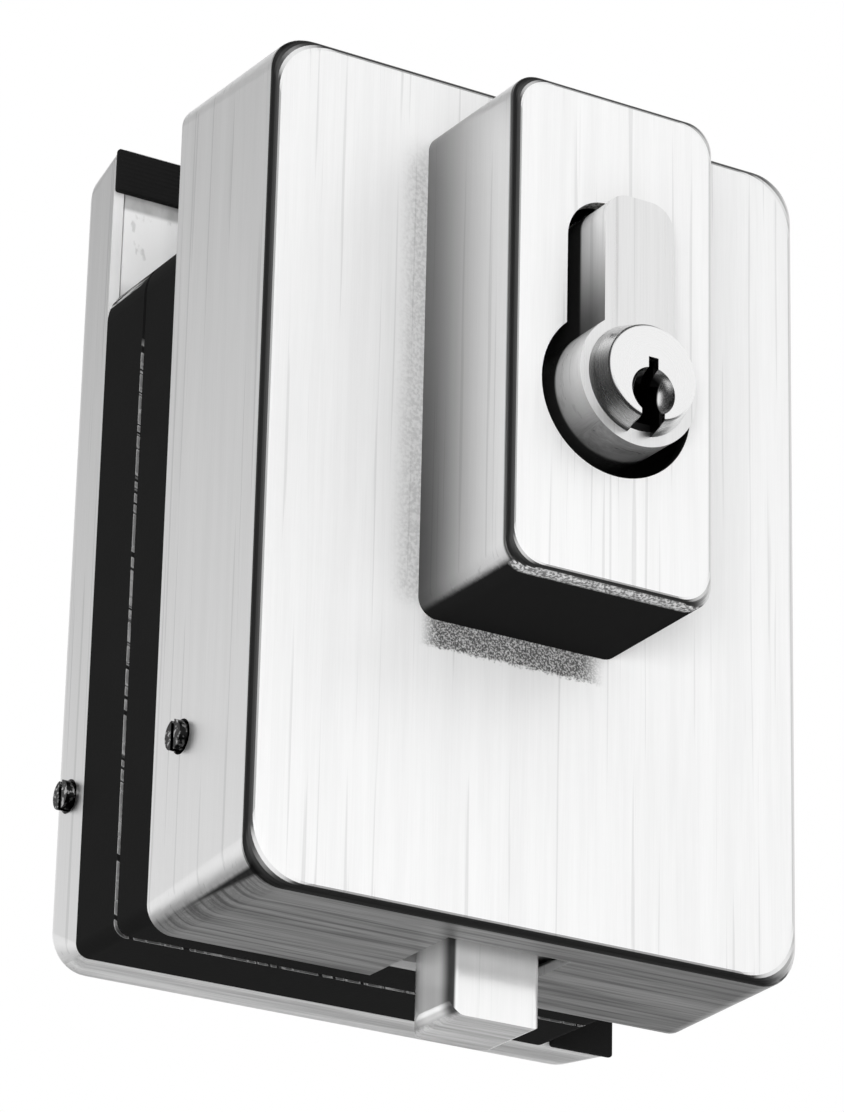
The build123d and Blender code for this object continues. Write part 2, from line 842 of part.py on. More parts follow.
def guide_screws():
    screws = []
    for x, z in guide_screw_places():
        seat_y = plate_front_y - guide_ear_thickness
        end_y = plate_front_y + axle_seat_depth - end_play
        head_y = seat_y - guide_head_height
        screw = disc(x, z, guide_screw_radius - thread_fit, end_y, seat_y)
        screw += disc(x, z, guide_head_radius, seat_y, head_y)
        slot = driver_slot / 2
        screw -= block(
            x - guide_head_radius, x + guide_head_radius,
            head_y - past, head_y + driver_slot_depth, z - slot, z + slot,
        )
        screws.append(screw)
    return Part() + screws


def brake_places():
    """Depth of the brake's bore and the two ends of its block."""
    y = plate_front_y - brake_depth / 2
    start = bolt_right_x + brake_x_gap
    return y, start, start + brake_length


def brake_block():
    y, start, end = brake_places()
    half = brake_height / 2
    body = block(
        start, end, plate_front_y, plate_front_y - brake_depth, brake_z - half, brake_z + half
    )
    return body - cross_rod(start - past, end + past, y, brake_z, brake_bore + brake_fit)


def brake_plunger():
    y, start, end = brake_places()
    tip = bolt_right_x + brake_touch
    body = cross_rod(tip, tip + brake_plunger_length, y, brake_z, brake_bore)
    return fillet(body.edges().sort_by(Axis.X)[0], brake_plunger_round)


def coil(radius, wire, height, turns):
    """Round wire wound on a steady helix from the origin up."""
    path = Helix(pitch=(height - wire) / turns, height=height - wire, radius=radius)
    section = Plane(origin=path @ 0, z_dir=path % 0) * Circle(wire / 2)
    return Pos(0, 0, wire / 2) * sweep(section, path=path)


def brake_spring():
    y, start, end = brake_places()
    x0 = bolt_right_x + brake_touch + brake_plunger_length + end_play / 2
    x1 = end - brake_screw_length - end_play / 2
    radius = brake_bore - brake_wire
    wound = coil(radius, brake_wire, x1 - x0, brake_turns)
    return Pos(x0, y, brake_z) * Rot(0, 90, 0) * wound


def brake_set_screw():
    y, start, end = brake_places()
    body = cross_rod(end - brake_screw_length, end, y, brake_z, brake_bore + brake_fit - thread_fit)
    slot = driver_slot / 2
    return body - block(
        end - driver_slot_depth, end + past, y - brake_bore - past, y + brake_bore + past,
        brake_z - slot, brake_z + slot,
    )


def cylinder_body():
    """Half cylinder: a long front part and a short rear one, joined above the cam."""
    body = prism(profile(0, 0), cylinder_end_y, cylinder_face_y)
    cam_room = cam_pitch + 2 * module - end_play
    at = Pos(cylinder_x, cylinder_z)
    gap = at * Circle(cam_room) + at * Pos(0, -barrel_radius) * Rectangle(
        2 * cam_room, 2 * barrel_radius
    )
    body -= prism(gap, cam_rear_y, cam_front_y)
    bore = plug_radius + plug_fit
    body -= disc(cylinder_x, cylinder_z, bore, cam_front_y + past, cylinder_face_y - past)
    for y in pin_y:
        top = cylinder_z + slim_rise + past
        body -= upright(cylinder_x, y, cylinder_z, top, pin_radius + pin_fit)
    body -= cross_rod(-side_x, side_x, fixing_y, fixing_z, fixing_radius)
    return body


def cylinder_fixing_screw():
    """Long screw from the left side of the case into the bridge of the cylinder."""
    end_x = cylinder_x + slim_width / 2 - fixing_run_out
    start_x = -case_side_x + fixing_head_height - end_play
    screw = cross_rod(start_x, end_x, fixing_y, fixing_z, fixing_radius - thread_fit)
    screw += fixing_cone(0)
    slot = driver_slot / 2
    return screw - block(
        -case_side_x - past, -case_side_x + driver_slot_depth,
        fixing_y - fixing_head_radius, fixing_y + fixing_head_radius,
        fixing_z - slot, fixing_z + slot,
    )


def driver_pins():
    pins = []
    foot = cylinder_z + driver_pin_foot
    for y in pin_y:
        pins.append(upright(cylinder_x, y, foot, foot + driver_pin_length, pin_radius))
    return Part() + pins


def cap_foot():
    return cylinder_z + slim_rise - cap_inset - cap_height


def driver_springs():
    foot = cylinder_z + driver_pin_foot + driver_pin_length + end_play / 2
    height = cap_foot() - foot - end_play / 2
    wound = coil(pin_radius - spring_wire, spring_wire, height, spring_turns)
    return Part() + [Pos(cylinder_x, y, foot) * wound for y in pin_y]


def chamber_caps():
    foot = cap_foot()
    return Part() + [upright(cylinder_x, y, foot, foot + cap_height, pin_radius) for y in pin_y]


def plug():
    """Rotor with its head, key entry, pin chambers and flatted tail."""
    body = disc(cylinder_x, cylinder_z, plug_radius, cam_front_y - plug_fit, cylinder_face_y)
    head = taper(
        cylinder_x, cylinder_z, plug_head_radius, plug_face_radius,
        cylinder_face_y - plug_fit, plug_face_y,
    )
    head = fillet(head.edges().sort_by(Axis.Y)[0], plug_head_round)
    body += head
    body += disc(cylinder_x, cylinder_z, plug_radius, cylinder_face_y, cylinder_face_y - 2 * plug_fit)
    at = Pos(cylinder_x, cylinder_z)
    tail_y = cam_rear_y - tail_end_gap
    body += prism(at * tail_sketch(tail_radius, tail_flat), tail_y, cam_front_y - past)
    body -= clip_ring_cut()
    sphere = (dimple_radius ** 2 + dimple_depth ** 2) / (2 * dimple_depth)
    middle_y = plug_face_y + dimple_depth - sphere
    body -= Pos(cylinder_x, middle_y, cylinder_z - dimple_drop) * Sphere(sphere)
    body -= keyway()
    for y in pin_y:
        foot = cylinder_z + key_pin_foot
        body -= upright(cylinder_x, y, foot, cylinder_z + plug_radius + past, pin_radius + pin_fit)
    return body


def keyway():
    """Slot for the key's blade, whose wide part runs out through the rim of the head."""
    end_y = pin_y[-1] + pin_radius + past
    narrow = keyway_narrow / 2
    wide = keyway_wide / 2
    front_y = plug_face_y - past
    x = cylinder_x
    z = cylinder_z
    slot = block(x - narrow, x + narrow, front_y, end_y, z + keyway_step, z + keyway_top)
    slot += block(x - wide, x + wide, front_y, end_y, z + keyway_bottom, z + keyway_step)
    rim_z = z - plug_head_radius - past
    slot += block(x - wide, x + wide, front_y, cylinder_face_y, rim_z, z + keyway_step)
    return slot


def key_pins():
    """Pins of five lengths, their tops level with the rotor as a fitting key holds them."""
    pins = []
    top = cylinder_z + key_pin_top
    for y, cut in zip(pin_y, bitting):
        foot = cylinder_z + key_pin_foot + end_play + key_pin_step * cut
        pins.append(upright(cylinder_x, y, foot, top, pin_radius))
    return Part() + pins


def clip_places():
    front_y = cam_gear_rear_y + end_play
    return front_y, front_y + clip_thickness


def clip_ring_cut():
    """Groove in the tail for the clip."""
    front_y, rear_y = clip_places()
    ring = Circle(tail_radius + past) - Circle(clip_groove_radius)
    margin = end_play / 2
    return prism(Pos(cylinder_x, cylinder_z) * ring, rear_y + margin, front_y - margin)


def plug_clip():
    front_y, rear_y = clip_places()
    ring = Circle(clip_radius) - Circle(clip_groove_radius + seat_fit)
    reach = clip_radius + past
    half = reach * tan(radians(clip_mouth / 2))
    mouth = make_face(Polyline((0, 0), (-half, -reach), (half, -reach), close=True))
    return prism(Pos(cylinder_x, cylinder_z) * (ring - mouth), rear_y, front_y)


pieces = [
    front_cover, cylinder_housing, housing_screws, rear_cover,
    front_clamp_plate, rear_clamp_plate, front_filler_block, rear_filler_block,
    front_glass_pads, rear_glass_pads, clamp_screws, front_grub_screws, rear_grub_screws,
    lock_case, lock_case_lid, lid_screws, gear_axle, axle_bushes,
    bolt_guide, guide_screws, brake_block, brake_plunger, brake_spring, brake_set_screw,
    cylinder_body, cylinder_fixing_screw, driver_pins, driver_springs, chamber_caps,
    plug, key_pins, plug_clip, cam_gear, reduction_wheel, drive_pinion, bolt,
]

for piece in pieces:
    export_step(piece(), f"parts/{piece.__name__}.step")

print("travel of the bolt for one turn of the key:", round(bolt_travel(), 4))
print("axis of the plug:", cylinder_x, round(cylinder_z, 4))
print("axis of the wheel:", round(wheel_x, 4), round(wheel_z, 4))
print("end of the bolt:", round(bolt_end_z, 4), "face of the plug:", round(plug_face_y, 4))
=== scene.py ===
# %% [markdown]
# # A lock for a glass door
# The object is a patch lock: two brushed steel covers hold the lower edge of a glass door between
# them, and a key turns a profile cylinder that drives a bolt into the floor. Its solids come
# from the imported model, which stands in its own frame: X across the door, Y from the keyed face
# to the back, Z up, in metres. This file adds what the eye needs: a camera, light, finishes and
# the rubber strips that hold the glass.

# %% Load the solids
import bmesh
import bpy
import numpy as np
from math import cos, radians, sin
from mathutils import Matrix, Vector


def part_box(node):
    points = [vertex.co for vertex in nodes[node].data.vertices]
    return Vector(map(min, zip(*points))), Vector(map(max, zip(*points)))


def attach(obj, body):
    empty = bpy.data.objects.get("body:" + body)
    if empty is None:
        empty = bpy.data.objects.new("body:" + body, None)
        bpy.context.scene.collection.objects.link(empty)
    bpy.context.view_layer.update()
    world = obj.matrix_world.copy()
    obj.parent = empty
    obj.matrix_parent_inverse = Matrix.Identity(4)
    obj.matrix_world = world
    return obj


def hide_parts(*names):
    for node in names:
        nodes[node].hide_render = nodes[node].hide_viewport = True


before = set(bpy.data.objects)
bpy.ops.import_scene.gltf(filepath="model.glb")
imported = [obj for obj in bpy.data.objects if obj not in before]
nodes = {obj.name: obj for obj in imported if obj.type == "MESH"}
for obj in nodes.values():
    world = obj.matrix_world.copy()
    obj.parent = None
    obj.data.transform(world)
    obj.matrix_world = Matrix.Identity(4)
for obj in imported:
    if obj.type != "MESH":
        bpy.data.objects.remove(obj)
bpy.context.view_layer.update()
mm = 0.001

# %% [markdown]
# ## The camera
# The photograph was taken from the lower left with a long lens, so parallel edges stay nearly
# parallel. A camera is a point, a direction and a turn about that direction. Writing its axes as
# the columns of a matrix keeps all three in sight, where Euler angles would hide them.

# %% Camera
camera_azimuth = radians(-30.298)
camera_elevation = radians(-22.021)
camera_roll = radians(1.353)
camera_distance = 626.65 * mm
camera_lens = 157.01
camera_target = Vector((-2.01, -9.5, -36.95)) * mm


def make_camera():
    """The back axis points from the target to the camera. Right lies level, up is their cross
    product, and both are turned about the back axis by the roll."""
    level = cos(camera_elevation)
    back = Vector((
        sin(camera_azimuth) * level, -cos(camera_azimuth) * level, sin(camera_elevation)
    ))
    right = Vector((cos(camera_azimuth), sin(camera_azimuth), 0))
    up = back.cross(right)
    rolled_right = right * cos(camera_roll) + up * sin(camera_roll)
    rolled_up = up * cos(camera_roll) - right * sin(camera_roll)
    camera = bpy.data.objects.new("camera", bpy.data.cameras.new("camera"))
    bpy.context.scene.collection.objects.link(camera)
    turn = Matrix((rolled_right, rolled_up, back)).transposed().to_4x4()
    camera.matrix_world = Matrix.Translation(camera_target + back * camera_distance) @ turn
    camera.data.lens = camera_lens
    camera.data.sensor_width = 36
    camera.data.clip_start = 0.01
    camera.data.clip_end = 50
    bpy.context.scene.camera = camera
    return camera


camera = make_camera()
print("camera at, in mm:", [round(x / mm, 1) for x in camera.location])

# %% [markdown]
# ## Shader maths in plain expressions
# A finish is a small graph of nodes, and a graph is hard to read as a list of links. Here one
# class wraps an output socket and gives it Python's operators, so that `1 - mask` adds the Math
# node it stands for.

# %% Wires
class Wire:
    """An output socket that carries a number, with arithmetic that adds Math nodes."""

    def __init__(self, graph, socket):
        self.graph = graph
        self.socket = socket

    def math(self, operation, *values):
        return self.graph.node("ShaderNodeMath", {"operation": operation}, *values)[0]

    def __add__(self, other):
        return self.math("ADD", self, other)

    def __sub__(self, other):
        return self.math("SUBTRACT", self, other)

    def __rsub__(self, other):
        return self.math("SUBTRACT", other, self)

    def __mul__(self, other):
        return self.math("MULTIPLY", self, other)

    def __truediv__(self, other):
        return self.math("DIVIDE", self, other)

    def __neg__(self):
        return self.math("MULTIPLY", self, -1)

    __radd__ = __add__
    __rmul__ = __mul__

    def size(self):
        """The value without its sign."""
        return self.math("ABSOLUTE", self)

    def larger(self, other):
        """The larger of two values, point by point."""
        return self.math("MAXIMUM", self, other)

    def root(self):
        """The square root."""
        return self.math("SQRT", self)

    def step(self, low, high):
        """Rises smoothly from 0 where the value is low to 1 where it is high."""
        values = {"Value": self, "From Min": low, "From Max": high}
        return self.graph.node(
            "ShaderNodeMapRange", {"interpolation_type": "SMOOTHSTEP"}, **values
        )[0]


print("a wire adds nodes for + - * /, size, larger, root and step")

# %% [markdown]
# ## Nodes by one method
# Every other node comes from one method, which takes the node's type, its settings and what its
# sockets hold. The settings are made first, because some of them change which sockets there are.
# A colour goes through a Mix node: a Math node would turn it grey.

# %% Graphs
class Graph:
    """The node tree of a material or of the world, and the nodes that they share."""

    def __init__(self, tree):
        self.tree = tree
        tree.nodes.clear()

    def node(self, kind, settings=None, *values, **named):
        """Adds a node, sets its settings and then its sockets, and returns its outputs."""
        made = self.tree.nodes.new(kind)
        for key, value in (settings or {}).items():
            setattr(made, key, value)
        for key, value in [*enumerate(values), *named.items()]:
            if isinstance(value, Wire):
                self.tree.links.new(value.socket, made.inputs[key])
            elif value is not None:
                made.inputs[key].default_value = value
        return [Wire(self, socket) for socket in made.outputs if socket.enabled]

    def mix(self, share, first, second):
        """Colour that goes from the first to the second as the share goes from 0 to 1."""
        made = self.tree.nodes.new("ShaderNodeMix")
        made.data_type = "RGBA"
        for key, value in ((0, share), (6, first), (7, second)):
            if isinstance(value, Wire):
                self.tree.links.new(value.socket, made.inputs[key])
            else:
                made.inputs[key].default_value = value
        return Wire(self, made.outputs[2])

    def place(self):
        """The point on the object, in metres, as three numbers."""
        point = self.node("ShaderNodeTexCoord")[3]
        return self.node("ShaderNodeSeparateXYZ", None, point)

    def facing(self):
        """The way the surface faces, in the object's own axes, as three numbers."""
        way = self.node("ShaderNodeTexCoord")[1]
        return self.node("ShaderNodeSeparateXYZ", None, way)

    def vector(self, x, y, z):
        """Three numbers as one vector."""
        return self.node("ShaderNodeCombineXYZ", None, x, y, z)[0]

    def noise(self, x, y, z, detail=2.0, rough=0.5):
        """Soft noise about 0.5, whose cells are one unit across."""
        named = {"Scale": 1.0, "Detail": detail, "Roughness": rough}
        return self.node("ShaderNodeTexNoise", None, self.vector(x, y, z), **named)[0]

    def grains(self, cell, detail=3.0):
        """Noise whose cells have one size, in metres, in all three directions."""
        x, y, z = self.place()
        return self.noise(x / cell, y / cell, z / cell, detail)


def grey(level):
    """A neutral colour, between 0 for black and 1 for white."""
    return (level, level, level, 1)


print("grey card:", grey(0.18))

# %% [markdown]
# ## The studio
# Brushed metal has hardly a colour of its own: it shows the room. The room is white for the
# camera. For reflections it is white as well, with black and grey cloths hung where the
# photographer's dark sides were, and that is what parts one steel face from the next. The cloths
# could be objects, but they are simpler as patches of the world: each is a range of directions.

# %% World
# The azimuths of the cloths, in degrees, where 0 is +X and 90 is +Y.
dark_side = 184
left_side = 120
rear_side = 60
room_light = 0.55


def make_world():
    """The strength is 1 for the camera and through glass, the cloths for reflections, and an
    even, softer level where the room only lights. Each cloth is a mask, and the factor behind
    it is the share of the light that it takes away. Below the object the room is nearly black,
    but for a grey ground behind it."""
    world = bpy.data.worlds.new("studio")
    world.use_nodes = True
    bpy.context.scene.world = world
    graph = Graph(world.node_tree)
    x, y, z = graph.node("ShaderNodeSeparateXYZ", None, graph.node("ShaderNodeTexCoord")[0])
    level = (x * x + y * y).root()

    def cloth(azimuth, half, fade):
        """1 where the level part of a direction lies within half the cloth's angle of its
        azimuth. The product of the two level directions is the cosine of the angle between."""
        turned = (x * cos(radians(azimuth)) + y * sin(radians(azimuth))) / level
        return turned.step(cos(radians(half + fade)), cos(radians(half - fade)))

    def above(low, high):
        """Rises from 0 to 1 between two elevations. The height of a direction is the sine of
        its elevation."""
        return z.step(sin(radians(low)), sin(radians(high)))

    room = 1 - cloth(dark_side, half=35, fade=8) * 0.97
    room = room * (1 - cloth(left_side, half=26, fade=12) * above(14, 27) * 0.6)
    room = room * (1 - above(50, 64) * 0.95)
    under = 0.03 + cloth(rear_side, half=70, fade=16) * 0.25
    lifted = above(-14, -4)
    seen = room * lifted + under * (1 - lifted)
    path = graph.node("ShaderNodeLightPath")
    camera_ray, glossy_ray, clear_ray = path[0], path[3], path[6]
    open_ray = camera_ray.larger(clear_ray)
    strength = open_ray + (1 - open_ray) * (glossy_ray * seen + (1 - glossy_ray) * room_light)
    shade = graph.node("ShaderNodeBackground", None, (1, 1, 1, 1), strength)[0]
    graph.node("ShaderNodeOutputWorld", None, shade)


make_world()
print("room: white, with a black cloth about azimuth", dark_side, "and dark above and below")

# %% [markdown]
# ## Floor
# The floor is pale paper. It lies far below, because the photograph looks up at the lock against
# a white ground, and a nearer floor would cut into that view. A plane would do, but a grid of
# points in one array is how every new surface here is made.

# %% Floor
floor_drop = 0.62
floor_half = 12.0
middle = Vector((0, -0.02, -0.04))


def grid_mesh(name, points):
    """Mesh from an array of points, rows by columns, with a quad between each four neighbours."""
    rows, columns = points.shape[:2]
    index = np.arange(rows * columns).reshape(rows, columns)
    corners = [index[:-1, :-1], index[:-1, 1:], index[1:, 1:], index[1:, :-1]]
    faces = np.stack(corners, axis=-1).reshape(-1, 4)
    mesh = bpy.data.meshes.new(name)
    mesh.from_pydata(points.reshape(-1, 3).tolist(), [], faces.tolist())
    thing = bpy.data.objects.new(name, mesh)
    bpy.context.scene.collection.objects.link(thing)
    return thing


def make_floor():
    """A level square, whose colour drifts a little between two pale greys."""
    edge = np.linspace(-floor_half, floor_half, 3)
    x, y = np.meshgrid(edge, edge)
    points = np.stack([x, y, np.full_like(x, middle.z - floor_drop)], axis=-1)
    floor = grid_mesh("floor", points)
    material = bpy.data.materials.new("floor_paper")
    material.use_nodes = True
    graph = Graph(material.node_tree)
    x, y, z = graph.place()
    tint = graph.mix(graph.noise(x * 3, y * 3, z, detail=3.0), grey(0.86), grey(0.90))
    paper = graph.node("ShaderNodeBsdfDiffuse", None, tint)[0]
    graph.node("ShaderNodeOutputMaterial", None, paper)
    floor.data.materials.append(material)
    floor.visible_glossy = False


make_floor()
print("floor at", round(middle.z - floor_drop, 3), "m")

# %% [markdown]
# ## Lamps
# The lamps only light the dull parts: their own image would burn out on the steel, so
# reflections do not see them. The front lamp hangs beside the camera, which sends the shadows of
# the housing away to the upper right, behind it. The lamp above brightens the floor.

# %% Lamps
def make_lamp(name, place, size, power):
    """Square lamp that looks at the middle of the object."""
    lamp = bpy.data.objects.new(name, bpy.data.lights.new(name, "AREA"))
    bpy.context.scene.collection.objects.link(lamp)
    lamp.data.size = size
    lamp.data.energy = power
    lamp.location = Vector(place)
    away = lamp.location - middle
    lamp.rotation_euler = away.to_track_quat("Z", "Y").to_euler()
    lamp.visible_camera = False
    lamp.visible_glossy = False
    print(name, round(away.length, 2), "m from the lock")


make_lamp("lamp_front", place=(-0.62, -1.0, -0.3), size=0.4, power=7)
make_lamp("lamp_above", place=(-0.8, 1.6, 3.0), size=2.5, power=95)

# %% [markdown]
# ## Brushed steel
# The covers are brushed along their height before they are bent, so each face carries fine
# scratches and a few broad, faint streaks in the same direction, with a long hair scratch here
# and there. A stretched noise gives them all: its cells are a fraction of a millimetre across
# the brush and centimetres along it. Faces that look up or down were brushed across the door, so
# the pattern is turned there.

# %% Brushed steel
# The first two are lengths along the brush, in widths of the scratch or streak.
scratch_length = 60
streak_length = 26
hair_width = 0.8 * mm
hair_length = 70 * mm
hair_share = 0.16
scratch_depth = 0.006 * mm


def new_finish(name):
    """An empty material, and the graph that fills it."""
    material = bpy.data.materials.new(name)
    material.use_nodes = True
    return material, Graph(material.node_tree)


def finish_off(graph, colour, metallic, roughness, height, depth, shine=0.5):
    """Ends a finish: one surface shader, with bumps as deep as depth where the height is 1."""
    bump = {"Strength": 1.0, "Distance": depth, "Height": height}
    named = {"Base Color": colour, "Metallic": metallic, "Roughness": roughness}
    named["Specular IOR Level"] = shine
    named["Normal"] = graph.node("ShaderNodeBump", None, **bump)[0]
    shade = graph.node("ShaderNodeBsdfPrincipled", None, **named)[0]
    graph.node("ShaderNodeOutputMaterial", None, shade)


def brush_lines(graph, fine, broad):
    """Fine scratches and broad streaks, as two numbers about 0.5, and a mask of the faces that
    look up or down. They run along Z on upright faces and along X on those faces."""
    x, y, z = graph.place()
    turned = graph.facing()[2].size().step(0.6, 0.8)
    across = x + (y - x) * turned
    other = y + (z - y) * turned
    along = z + (x - z) * turned
    scratch_reach, streak_reach = scratch_length * fine, streak_length * broad
    scratches = graph.noise(across / fine, other / fine, along / scratch_reach, 4.0, 0.6)
    streaks = graph.noise(across / broad, other / broad, along / streak_reach, 3.0, 0.55)
    return scratches, streaks, turned


def brushed(name, level, fine=0.16 * mm, broad=2.2 * mm, rough=0.38, spread=0.07, shades=(),
            dull=0.0, shine=0.5):
    """Brushed metal with a few long hair scratches. Its level swings by the spread, and much
    further on faces that look up or down. Each of the shades makes a mask and the level that it
    brings. The dull share scatters light as powder does: it is a number, or a function that
    makes a mask."""
    material, graph = new_finish(name)
    scratches, streaks, turned = brush_lines(graph, fine, broad)
    marks = scratches * 0.45 + streaks * 0.55
    low = graph.mix(turned, grey(level - spread / 2), grey(level * 0.42))
    colour = graph.mix(marks.step(0.3, 0.7), low, grey(level + spread / 2))
    x, y, z = graph.place()
    hairs = graph.noise(x / hair_width, y / hair_width, z / hair_length, 2.0).step(0.62, 0.68)
    colour = graph.mix(hairs * (1 - turned) * hair_share, colour, grey(0.1))
    for shade in shades:
        mask, shade_level = shade(graph)
        colour = graph.mix(mask, colour, grey(shade_level))
    metallic = 1 - (dull(graph) if callable(dull) else dull)
    roughness = rough + (marks - 0.5) * 0.2
    finish_off(graph, colour, metallic, roughness, scratches, scratch_depth, shine)
    return material


def dress(material, *names):
    """Puts a finish on the slots of these solids."""
    for name in names:
        for slot in nodes[name].material_slots:
            slot.material = material
    print(material.name, "on", ", ".join(names))


# %% [markdown]
# ## Masks of painted shade and dullness
# A finish changes with the way that a surface faces: the rolled edges carry a painted dark
# reflection, the inside carries painted shade, and the front is duller than the sides. Each of
# these is a mask, a number that is 1 where it holds and 0 elsewhere, and masks combine by
# products and by the larger of two. A shade is a mask with the level that it brings. The levels
# have names, from black to bright.

# %% Masks and the rear cover
# Levels that the shades bring: painted shade, painted dark reflections and a painted glint, and the
# grey of cutter marks with painted shade.
painted_underside_dark = 0.012
painted_recess_dark = 0.02
painted_edge_and_foot_dark = 0.03
painted_reflection_and_shade = 0.05
painted_shade_grey = 0.08
marks_and_shade_grey = 0.25
painted_glint_grey = 0.6


def within(value, middle, half, fade):
    """1 where a value lies within half of the middle, falling to 0 over the fade."""
    return 1 - (value - middle).size().step(half - fade, half + fade)


def ahead(graph, low=0.9, high=0.98):
    """1 where the surface looks to the front."""
    return (-graph.facing()[1]).step(low, high)


def under(graph):
    """1 where the surface looks down."""
    return (-graph.facing()[2]).step(0.5, 0.8)


def sideways(graph, low=0.3, high=0.6):
    """1 where the surface looks neither to the front nor to the back."""
    return 1 - graph.facing()[1].size().step(low, high)


def inside(node, wall):
    """Painted shade on the surfaces behind a front face, which are made dark all over. They lie in
    the node's box less a wall at its sides."""
    low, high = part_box(node)

    def shade(graph):
        x, y, z = graph.place()
        mask = y.step(low[1] + 0.5 * mm, low[1] + 0.9 * mm)
        for value, start, end in ((x, low[0], high[0]), (z, low[2], high[2])):
            mask = mask * within(value, (start + end) / 2, (end - start) / 2 - wall, 0.2 * mm)
        return mask, painted_recess_dark

    return shade


def dark_edge_reflection(graph):
    """The rolled edge round a front face, where the surface looks neither straight to the front
    nor straight to a side. A painted dark reflection makes it nearly black, less so where it
    looks to the right."""
    way = graph.facing()
    turned = way[1].size()
    right = way[0].step(0.1, 0.5)
    edge = turned.step(0.1, 0.3) * (1 - turned.step(0.93, 0.99))
    return edge * (1 - right * 0.8) * 0.93, painted_edge_and_foot_dark


def satin(graph):
    """The faces that look to the front are rubbed more than half dull, and the others a little."""
    return 0.12 + ahead(graph) * 0.53


def dull_rim(graph):
    """The underside and the cut rim of the rear cover, which no brush has been over."""
    return (under(graph) * 0.5).larger(ahead(graph, 0.5, 0.8) * 0.8)


dress(brushed("cover_steel", 0.88, dull=dull_rim), "rear_cover")

# %% [markdown]
# ## Painted shade on the front cover
# The housing is brushed by itself and then screwed on the front cover. A narrow speckled border
# of painted shade lies in the corner between the two, beside the housing and below it, where
# the housing's shadow and dark reflection fall. Its place is worked out from the housing's
# box, so that it follows the housing. The cover's underside is painted darker as well.

# %% Front cover
housing_low, housing_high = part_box("cylinder_housing")
border_width = 3.5 * mm
dull_reach = 18 * mm


def border_shade(graph):
    """A speckled border of painted shade, soft along the housing's left side and strong below
    it. The grains shift its outer edge in and out."""
    x, y, z = graph.place()
    out_left = housing_low[0] - x
    out_below = housing_low[2] - z
    grain = (graph.grains(0.4 * mm) - 0.5) * 1.6 * mm
    beside = 1 - (out_left + grain).step(border_width - 2.5 * mm, border_width + 1 * mm)
    beside = beside * out_left.step(-mm, 0) * (1 - out_below.step(-4 * mm, 0))
    beside = beside * (1 - z.step(housing_high[2] - 8 * mm, housing_high[2]))
    beside = beside * (0.1 + graph.grains(0.45 * mm).step(0.35, 0.65) * 0.22)
    below = 1 - (out_below + grain).step(border_width - 0.3 * mm, border_width + 0.3 * mm)
    below = below * out_below.step(-mm, 0) * (1 - out_left.step(-3 * mm, 0))
    below = below * (1 - x.step(housing_high[0] - 6 * mm, housing_high[0] - 2 * mm))
    below = below * (0.98 - graph.grains(0.25 * mm).step(0.4, 0.68) * 0.7)
    return beside.larger(below), painted_shade_grey


def beside_housing(graph):
    """The dull share of the cover, which grows towards the housing, because the cloth that
    rubs the cover goes round it. The distance from a rectangle is the root of the sum of two
    squares: how far a point lies outside it across the door, and how far in height."""
    x, y, z = graph.place()
    squares = 0
    for value, axis in ((x, 0), (z, 2)):
        low, high = housing_low[axis], housing_high[axis]
        outside = ((value - (low + high) / 2).size() - (high - low) / 2).larger(0)
        squares = outside * outside + squares
    near = 1 - squares.root().step(3 * mm, dull_reach)
    return satin(graph) + near * ahead(graph) * 0.18


def cover_underside_shade_and_streaks(graph):
    """Painted shade over all of the cover's underside, with dark brush streaks along the door."""
    x, y, z = graph.place()
    streaks = graph.noise(x / (30 * mm), y / (0.9 * mm), 0.0, 2.0).step(0.45, 0.65)
    return under(graph) * (0.38 + streaks * 0.35), painted_shade_grey


# Painted shade in the recess, beside and below the housing and on the underside, and a painted
# reflection on the rolled edges.
cover_shades = (inside("front_cover", 1.2 * mm), border_shade, cover_underside_shade_and_streaks, dark_edge_reflection)
dress(brushed("front_cover_steel", 0.9, shades=cover_shades, dull=beside_housing), "front_cover")

# %% [markdown]
# ## Painted shade on the housing
# The housing carries painted shade, darkest at its foot. On its sides the painted shade fades
# towards the front, and below it stays dark all over, with a painted glint of bright grains
# along the lower edge.

# %% Housing
def foot_shade(graph):
    """Painted shade on the sides, which falls from the foot towards the front, and less at the
    upper end. The last stretch before the front edge carries a painted dark reflection."""
    x, y, z = graph.place()
    fade = y.step(housing_low[1] + 1 * mm, housing_high[1])
    lower = 1 - z.step(housing_low[2], housing_high[2]) * 0.2
    front = 1 - y.step(housing_low[1] + 1.2 * mm, housing_low[1] + 1.7 * mm)
    return sideways(graph, 0.08, 0.3) * (fade * lower * 0.92).larger(front * 0.9), painted_edge_and_foot_dark


def housing_underside_shade(graph):
    """Painted shade over all of the underside of the housing."""
    return under(graph), painted_underside_dark


def glint_grains(graph):
    """A painted glint of bright grains on the lower rolled edge of the housing, from its middle to
    a little way along the underside."""
    front = housing_low[1]
    near = 1 - graph.place()[1].step(front + 1.7 * mm, front + 2.4 * mm)
    edge = (-graph.facing()[2]).step(0.72, 0.8) * near
    return edge * (0.25 + graph.grains(0.35 * mm).step(0.42, 0.6) * 0.7)


def painted_edge_glint(graph):
    """The painted glint as a shade."""
    return glint_grains(graph), painted_glint_grey


def scattering(graph):
    """The dull share of the housing: the front as on the cover, all of the underside, and the
    painted glint on the lower edge.
    """
    return satin(graph).larger(under(graph)).larger(glint_grains(graph))


# Painted shade in the recess, at the foot and below, a painted dark reflection on the rolled edges,
# and a painted glint.
housing_shades = (inside("cylinder_housing", 1.7 * mm), foot_shade, housing_underside_shade, dark_edge_reflection, painted_edge_glint)
housing_steel = brushed("housing_steel", 0.9, shades=housing_shades, dull=scattering, shine=0.0)
dress(housing_steel, "cylinder_housing")

# %% [markdown]
# ## The bolt
# The bolt is ground, so its lines are finer and it shines more. Its left side carries a
# painted reflection of the dark slot that it comes out of.

